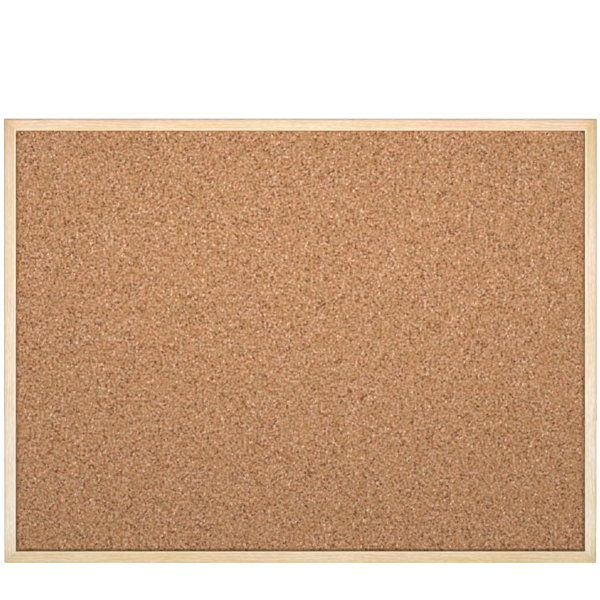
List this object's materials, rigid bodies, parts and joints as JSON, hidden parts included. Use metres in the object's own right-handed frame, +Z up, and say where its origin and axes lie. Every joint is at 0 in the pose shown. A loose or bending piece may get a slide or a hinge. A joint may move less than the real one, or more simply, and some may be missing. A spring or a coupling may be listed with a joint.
{
  "type": "cork board",
  "caption": "Rectangular cork pin board in a narrow mitred pine frame, with a softboard core, a hardboard back, swinging ring hangers and wall bumpers.",
  "frame": {"origin": "the centre of the board's outline on the wall plane, the plane that the rear bumpers and the hanger knuckles touch when the board hangs", "axes": "+X to the right as seen from the front, along the board's longest side; +Y from the cork towards the wall; +Z up"},
  "size_m": [0.6, 0.0201, 0.45],
  "materials": {
    "pine": "fine sanded bare pine",
    "cork": "pressed cork granules, matt",
    "softboard": "loose wood fibre, matt",
    "hardboard": "pressed fibre, satin",
    "zinc_steel": "bright zinc plate",
    "dark_steel": "plain rolled strip",
    "rubber": "pale soft rubber"
  },
  "bodies": {
    "board": {"rail_left": "pine", "rail_top": "pine", "rail_right": "pine", "rail_bottom": "pine", "cork_sheet": "cork", "core_board": "softboard", "back_panel": "hardboard", "retainer_tab_left_1": "dark_steel", "retainer_tab_left_2": "dark_steel", "retainer_tab_top_1": "dark_steel", "retainer_tab_top_2": "dark_steel", "retainer_tab_top_3": "dark_steel", "retainer_tab_right_1": "dark_steel", "retainer_tab_right_2": "dark_steel", "retainer_tab_bottom_1": "dark_steel", "retainer_tab_bottom_2": "dark_steel", "retainer_tab_bottom_3": "dark_steel", "v_nail_top_left": "dark_steel", "v_nail_top_right": "dark_steel", "v_nail_bottom_left": "dark_steel", "v_nail_bottom_right": "dark_steel", "hanger_strap_left": "zinc_steel", "hanger_strap_right": "zinc_steel", "hanger_screw_left": "zinc_steel", "hanger_screw_right": "zinc_steel", "wall_bumper_left": "rubber", "wall_bumper_right": "rubber"},
    "ring_left": {"hanger_ring_left": "zinc_steel"},
    "ring_right": {"hanger_ring_right": "zinc_steel"}
  },
  "joints": [
    {"name": "ring_left_swing", "type": "hinge", "parent": "board", "child": "ring_left", "pos_m": [-0.2944, -0.002, 0.155], "axis": [1, 0, 0], "range_deg": [0, 180]},
    {"name": "ring_right_swing", "type": "hinge", "parent": "board", "child": "ring_right", "pos_m": [0.2944, -0.002, 0.155], "axis": [1, 0, 0], "range_deg": [0, 180]}
  ]
}
